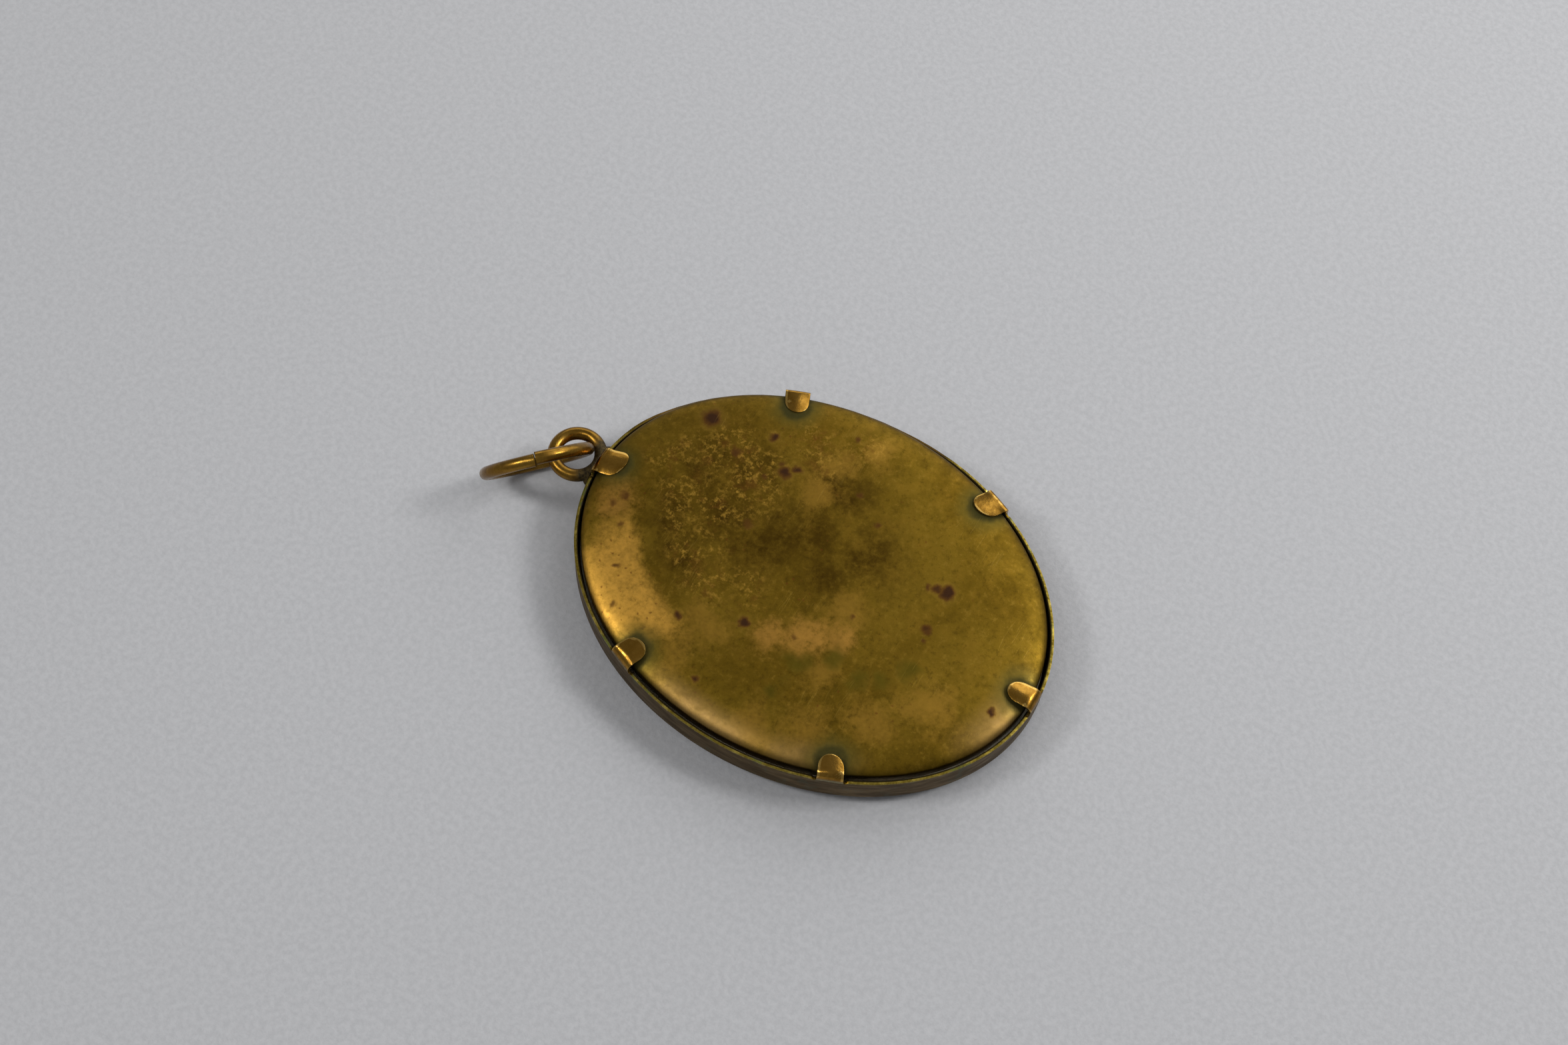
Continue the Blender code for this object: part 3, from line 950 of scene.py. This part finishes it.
def plate_verdigris(f, colour, plan, mottle):
    """Olive haloes and dark crust round the tabs. Gives the colour, the halo and the crust."""
    close = []
    for shift in TAB_HALO_PLACES:
        close += [f.vector("DISTANCE", plan, (x, y, 0.0)) for x, y in tab_places(shift)]
    nearest = f.least(close)
    halo = f.smooth(nearest, 1.75, 1.0)
    colour = f.tint(colour, f.smooth(nearest, 3.0, 1.2), 0.7, (0.100, 0.078, 0.014))
    crust = f.times(halo, f.smooth(mottle, 0.25, 0.6, 0.45, 0.85))
    return f.mix(crust, colour, (0.040, 0.038, 0.010)), halo, crust


def plate_brass():
    """Tarnished brass of the back plate, with flecks, stains and verdigris round the tabs."""
    f = Finish("plate_brass")
    wide = f.flat(f.warped(5.5, 3.6, 2.0))
    plan = f.flat(f.warped(0.9, 1.2, 3.0))
    mottle = f.clouds(1.5, 7.0, 0.66, seed=5.0)
    grainy = f.clouds(0.5, 6.0, 0.72, seed=6.0)
    both = f.blend(0.45, mottle, grainy)
    fine = f.clouds(0.3, 4.0, 0.6, seed=7.0)
    gold = f.spots(wide, GOLD_PATCHES, CLOUD_SOFT)
    pink = f.spots(wide, PINK_PATCHES, PINK_SOFT)
    green = f.spots(wide, GREEN_PATCHES, GREEN_SOFT)
    band_away = f.vector("DISTANCE", plan, (2.0, 5.0, 0.0))
    band = f.times(f.smooth(band_away, 9.8, 12.4), f.spot(wide, -7.5, 12.0, 6.0, 2.4))
    cloud = f.times(f.spots(wide, DARK_CLOUDS, CLOUD_SOFT), f.smooth(both, 0.62, 0.4, 0.45, 1.0))
    # Painted highlight with some real rubbing: paler brass on the shoulder of the near edges
    rubbed_and_highlight = f.times(f.smooth(oval_share(f), 0.8, 0.92), f.spots(plan, RUBBED_AND_HIGHLIGHT_EDGES, RUBBED_AND_HIGHLIGHT_SOFT))
    rubbed_and_highlight = f.times(rubbed_and_highlight, f.smooth(mottle, 0.3, 0.6, 0.6, 1.0))

    colour = plate_ground(f, mottle, grainy)
    colour = f.mix(cloud, colour, (0.050, 0.0265, 0.0029))
    colour = plate_gold(f, colour, gold, band, both, grainy)
    pink_part = f.times(f.ragged(pink, both, 1.6), f.smooth(grainy, 0.3, 0.6, 0.5, 0.9))
    colour = f.mix(pink_part, colour, (0.36, 0.185, 0.033))
    colour = plate_flecks(f, colour, wide)
    colour = f.tint(colour, f.ragged(green, both, 1.6), 0.85, (0.096, 0.070, 0.007))
    colour = plate_pepper(f, colour, band)
    # Paint the near edges' shoulder paler: partly rubbed brass, partly a painted highlight
    colour = f.tint(colour, rubbed_and_highlight, 0.75, (0.30, 0.182, 0.062))
    colour, stain = plate_stains(f, colour)
    colour, halo, crust = plate_verdigris(f, colour, plan, mottle)

    rough = f.smooth(mottle, 0.3, 0.7, 0.5, 0.4)
    rough = f.blend(f.times(gold, 0.6), rough, 0.38)
    rough = f.blend(cloud, rough, 0.5)
    rough = f.blend(rubbed_and_highlight, rough, 0.36)
    rough = f.blend(stain, rough, 0.62)
    rough = f.blend(halo, rough, 0.7)
    rough = f.maths("ADD", rough, f.smooth(fine, 0.3, 0.7, -0.03, 0.05))
    metal = f.blend(crust, f.blend(stain, 1.0, 0.88), 0.9)

    normal = f.bump(f.clouds(4.0, 2.0, seed=17.0), 0.08)
    normal = f.bump(mottle, 0.012, normal)
    normal = f.bump(fine, 0.003, normal)
    normal = f.bump(f.maths("MAXIMUM", crust, stain), 0.01, normal)
    scratch_place = f.vector("MULTIPLY", f.warped(1.0, 6.0, 9.0), (0.25, 4.0, 1.0))
    scratches = f.smooth(f.clouds(0.5, 2.0, 0.5, place=scratch_place), 0.6, 0.7)
    scratches = f.times(scratches, f.smooth(f.clouds(6.0, 2.0, seed=18.0), 0.5, 0.62))
    colour = f.tint(colour, scratches, 0.13, (0.34, 0.22, 0.045))
    return f.finish(colour, rough, metal, f.bump(scratches, -0.003, normal))


def wall_colour(f, banded, mottle, green):
    """Dull brown brass of the wall, with a green bloom."""
    wall = f.mix(f.smooth(banded, 0.35, 0.68), (0.068, 0.040, 0.011), (0.15, 0.09, 0.023))
    wall = f.mix(f.smooth(mottle, 0.55, 0.75, 0.0, 0.5), wall, (0.115, 0.078, 0.022))
    return f.tint(wall, green, 0.5, (0.045, 0.052, 0.018))


def rim_colour(f, mottle, fine, green):
    """Bright filed brass of the rim, duller on its far side."""
    dulled = f.smooth(f.vector("DOT_PRODUCT", f.place, tuple(FAR_SIDE)), 11.0, 14.5)
    bright = f.mix(f.smooth(fine, 0.38, 0.66), (0.14, 0.098, 0.012), (0.32, 0.235, 0.04))
    bright = f.mix(f.smooth(mottle, 0.5, 0.68), bright, (0.46, 0.35, 0.075))
    rim = f.mix(dulled, bright, (0.13, 0.08, 0.012))
    return f.tint(rim, green, 0.8, (0.085, 0.11, 0.016))


def tab_colour(f, mottle, fine):
    """Coppery worn brass of the tabs."""
    tab = f.mix(f.smooth(mottle, 0.35, 0.66), (0.205, 0.102, 0.013), (0.36, 0.190, 0.031))
    return f.mix(f.smooth(fine, 0.6, 0.72, 0.0, 0.35), tab, (0.13, 0.06, 0.012))


def bezel_brass():
    """Brass of the bezel: dull wall, bright worn rim, coppery worn tabs, and painted shade on the inside
    of the wall under the rim.
    """
    f = Finish("bezel_brass")
    height = f.split.outputs["Z"]
    mottle = f.clouds(1.0, 5.0, 0.6, seed=2.0)
    fine = f.clouds(0.22, 4.0, 0.6, seed=4.0)
    banded = f.clouds(1.6, 4.0, 0.6, place=f.vector("MULTIPLY", f.place, (0.5, 0.5, 2.0)), seed=8.0)
    green = f.smooth(f.clouds(1.7, 5.0, 0.7, seed=6.0), 0.54, 0.64)
    near_rim = f.smooth(f.maths("ADD", height, f.smooth(mottle, 0.3, 0.7, -0.06, 0.06)), 4.12, 4.26)
    # Painted shade: the inside of the wall under the rim, seen in the gap round the plate, is painted
    # near black
    gap_shade = f.times(f.smooth(oval_share(f), 0.9915, 0.986), f.smooth(height, 4.6, 4.45))
    gap_shade = f.times(gap_shade, f.smooth(height, 2.0, 2.6))
    on_tab = f.smooth(height, 4.45, 4.75)
    worn = f.smooth(f.add("ShaderNodeNewGeometry").outputs["Pointiness"], 0.51, 0.57)

    colour = f.mix(near_rim, wall_colour(f, banded, mottle, green), rim_colour(f, mottle, fine, green))
    # Paint the shade in the gap between the wall and the plate
    colour = f.mix(gap_shade, colour, (0.022, 0.015, 0.005))
    colour = f.mix(on_tab, colour, tab_colour(f, mottle, fine))
    colour = f.mix(f.times(worn, f.times(on_tab, 0.7)), colour, (0.60, 0.38, 0.10))

    rough = f.smooth(banded, 0.3, 0.7, 0.6, 0.44)
    rough = f.blend(near_rim, rough, f.smooth(fine, 0.3, 0.7, 0.42, 0.26))
    rough = f.blend(gap_shade, rough, 0.75)
    rough = f.blend(on_tab, rough, f.smooth(mottle, 0.3, 0.7, 0.29, 0.17))
    metal = f.blend(f.times(green, 0.5), 1.0, 0.4)
    metal = f.blend(on_tab, metal, 1.0)
    return f.finish(colour, rough, metal, f.bump(fine, 0.003, f.bump(mottle, 0.025)))


def slit_share(f):
    """1 in the jump ring's slit and just beside it, where its shade is painted dark, 0 elsewhere."""
    level, upward, normal = ring_directions()
    turn = RING_SLIT_TURN
    outward = level * math.cos(turn) + upward * math.sin(turn)
    along = level * -math.sin(turn) + upward * math.cos(turn)
    middle = (RING_CENTRE + outward * RING_RADIUS) / MM
    offset = f.vector("SUBTRACT", f.place, tuple(middle))
    away = f.maths("ABSOLUTE", f.vector("DOT_PRODUCT", offset, tuple(along)))
    line = f.smooth(away, RING_SLIT_SHADE + 0.02, RING_SLIT_SHADE - 0.02)
    here = f.smooth(f.vector("DISTANCE", f.place, tuple(middle)), 1.3, 1.2)
    return f.times(line, here)


def wire_brass(name, solder):
    """Worn brass wire with brown patches. The eye's foot is dull with solder; the ring's slit has painted
    shade.
    """
    f = Finish(name)
    mottle = f.clouds(0.9, 5.0, 0.6, seed=21.0)
    fine = f.clouds(0.2, 4.0, 0.6, seed=22.0)
    patches = f.clouds(2.0, 4.0, 0.6, seed=23.0)
    colour = f.mix(f.smooth(patches, 0.35, 0.65), (0.19, 0.095, 0.013), (0.32, 0.175, 0.028))
    colour = f.mix(f.smooth(mottle, 0.54, 0.72, 0.0, 0.6), colour, (0.10, 0.052, 0.012))
    colour = f.mix(f.smooth(fine, 0.6, 0.72, 0.0, 0.4), colour, (0.07, 0.035, 0.008))
    rough = f.smooth(mottle, 0.3, 0.7, 0.21, 0.34)
    metal = 1.0
    normal = f.bump(mottle, 0.018)
    normal = f.bump(fine, 0.004, normal)
    if solder:
        edge = f.maths("ADD", f.split.outputs["Y"], f.smooth(mottle, 0.3, 0.7, -0.35, 0.35))
        foot = f.smooth(edge, 22.8, 21.6)
        dull = f.mix(f.smooth(fine, 0.35, 0.65), (0.026, 0.018, 0.006), (0.088, 0.058, 0.017))
        colour = f.mix(foot, colour, dull)
        rough = f.blend(foot, rough, 0.58)
        metal = f.blend(foot, 1.0, 0.75)
        grit = f.times(f.clouds(0.3, 5.0, 0.7, seed=25.0), foot)
        normal = f.bump(grit, 0.05, normal)
    else:
        # Painted shade: a dark line over the ring's slit
        slit = slit_share(f)
        colour = f.mix(slit, colour, (0.018, 0.010, 0.004))
        rough = f.blend(slit, rough, 0.8)
    return f.finish(colour, rough, metal, normal)


def old_glass():
    """Old crystal, a little smudged and finely scratched."""
    f = Finish("old_glass")
    f.shader.inputs["Base Color"].default_value = (0.93, 0.96, 0.94, 1.0)
    f.shader.inputs["Transmission Weight"].default_value = 1.0
    f.shader.inputs["IOR"].default_value = 1.5
    smudge = f.clouds(4.0, 4.0, 0.6, seed=31.0)
    rough = f.smooth(smudge, 0.45, 0.75, 0.03, 0.16)
    scratch_place = f.vector("MULTIPLY", f.warped(1.5, 7.0, 3.0), (0.3, 3.0, 1.0))
    scratches = f.smooth(f.clouds(0.6, 2.0, 0.5, place=scratch_place), 0.62, 0.68)
    rough = f.maths("ADD", rough, f.times(scratches, 0.12))
    return f.finish(rough=rough, normal=f.bump(scratches, -0.003))


def old_paper():
    """Blank cream card, foxed with age."""
    f = Finish("old_paper")
    fibre = f.clouds(0.25, 5.0, 0.7, seed=41.0)
    fox = f.smooth(f.clouds(2.4, 5.0, 0.65, seed=42.0), 0.58, 0.7)
    colour = f.mix(f.smooth(fibre, 0.3, 0.7), (0.66, 0.58, 0.42), (0.76, 0.69, 0.53))
    colour = f.tint(colour, fox, 0.5, (0.42, 0.27, 0.12))
    return f.finish(colour, f.smooth(fibre, 0.3, 0.7, 0.95, 0.85), None, f.bump(fibre, 0.02))


def grey_board():
    """Soft pulp board."""
    f = Finish("grey_board")
    fibre = f.clouds(0.4, 6.0, 0.7, seed=51.0)
    colour = f.mix(f.smooth(fibre, 0.35, 0.65), (0.24, 0.19, 0.13), (0.42, 0.35, 0.26))
    return f.finish(colour, f.smooth(fibre, 0.3, 0.7, 0.98, 0.88), None, f.bump(fibre, 0.05))


def pale_floor():
    """Plain pale table top with a very fine grain."""
    f = Finish("pale_floor")
    f.shader.inputs["Specular IOR Level"].default_value = 0.25
    speck = f.clouds(0.5, 3.0, 0.6, seed=61.0)
    colour = f.mix(f.smooth(speck, 0.3, 0.7), (0.42, 0.42, 0.43), (0.47, 0.47, 0.48))
    return f.finish(colour, f.smooth(speck, 0.3, 0.7, 0.75, 0.65), None, f.bump(speck, 0.05))


# ---------------------------------------------------------------- the stage


def add_floor():
    """A plain pale floor just under the locket."""
    bm = bmesh.new()
    bmesh.ops.create_grid(bm, x_segments=8, y_segments=8, size=FLOOR_REACH)
    floor = make_object("floor", bm)
    floor.location.z = -FLOOR_GAP
    floor.data.materials.append(pale_floor())


def add_camera():
    """The camera, from its target on the floor, distance, angles and roll."""
    flat = math.cos(CAMERA_ELEVATION)
    forward = Vector((flat * math.cos(CAMERA_HEADING), flat * math.sin(CAMERA_HEADING), 0.0))
    forward.z = -math.sin(CAMERA_ELEVATION)
    level = forward.cross(Vector((0.0, 0.0, 1.0))).normalized()
    upright = level.cross(forward)
    right = level * math.cos(CAMERA_ROLL) + upright * math.sin(CAMERA_ROLL)
    up = right.cross(forward)
    data = bpy.data.cameras.new("camera")
    data.lens = CAMERA_LENS
    data.sensor_width = CAMERA_SENSOR
    data.clip_start = 0.001
    data.clip_end = 20.0
    camera = bpy.data.objects.new("camera", data)
    turned = Matrix((right, up, -forward)).transposed().to_4x4()
    camera.matrix_world = Matrix.Translation(CAMERA_TARGET - forward * CAMERA_DISTANCE) @ turned
    bpy.context.scene.collection.objects.link(camera)
    bpy.context.scene.camera = camera


def add_softbox(name, heading, elevation, distance, width, height, power):
    """A large soft light that looks at the locket from a heading and elevation in degrees."""
    data = bpy.data.lights.new(name, "AREA")
    data.shape = "RECTANGLE"
    data.size = width
    data.size_y = height
    data.energy = power
    light = bpy.data.objects.new(name, data)
    heading = math.radians(heading)
    elevation = math.radians(elevation)
    back = Vector((math.cos(heading), math.sin(heading), 0.0)) * math.cos(elevation)
    back.z = math.sin(elevation)
    light.location = CAMERA_TARGET + back * distance
    light.rotation_mode = "QUATERNION"
    light.rotation_quaternion = back.to_track_quat("Z", "Y")
    bpy.context.scene.collection.objects.link(light)


def add_lights():
    """Soft daylight: two lights beyond the locket, three windows round it, and a dim even room."""
    for name, values in SOFTBOXES.items():
        add_softbox(name, *values)
    world = bpy.data.worlds.new("room")
    world.use_nodes = True
    world.node_tree.nodes["Background"].inputs["Color"].default_value = ROOM_COLOUR
    world.node_tree.nodes["Background"].inputs["Strength"].default_value = ROOM_LIGHT
    bpy.context.scene.world = world
    bpy.context.scene.view_settings.view_transform = "Standard"


def dress(thing, material, body, node):
    """Give a piece its material and body, and hide the CAD part it stands in for."""
    thing.data.materials.clear()
    thing.data.materials.append(material)
    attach(thing, body)
    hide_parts(node)


def main():
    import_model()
    dress(make_bezel(), bezel_brass(), "locket", "bezel_frame")
    dress(make_plate(), plate_brass(), "locket", "back_plate")
    dress(make_glass(), old_glass(), "locket", "front_glass")
    dress(make_card(), old_paper(), "locket", "picture_card")
    dress(make_pad(), grey_board(), "locket", "backing_pad")
    dress(make_eye(), wire_brass("eye_brass", True), "locket", "eye_ring")
    dress(make_jump_ring(), wire_brass("ring_brass", False), "loose_ring", "jump_ring")
    add_floor()
    add_lights()
    add_camera()


main()
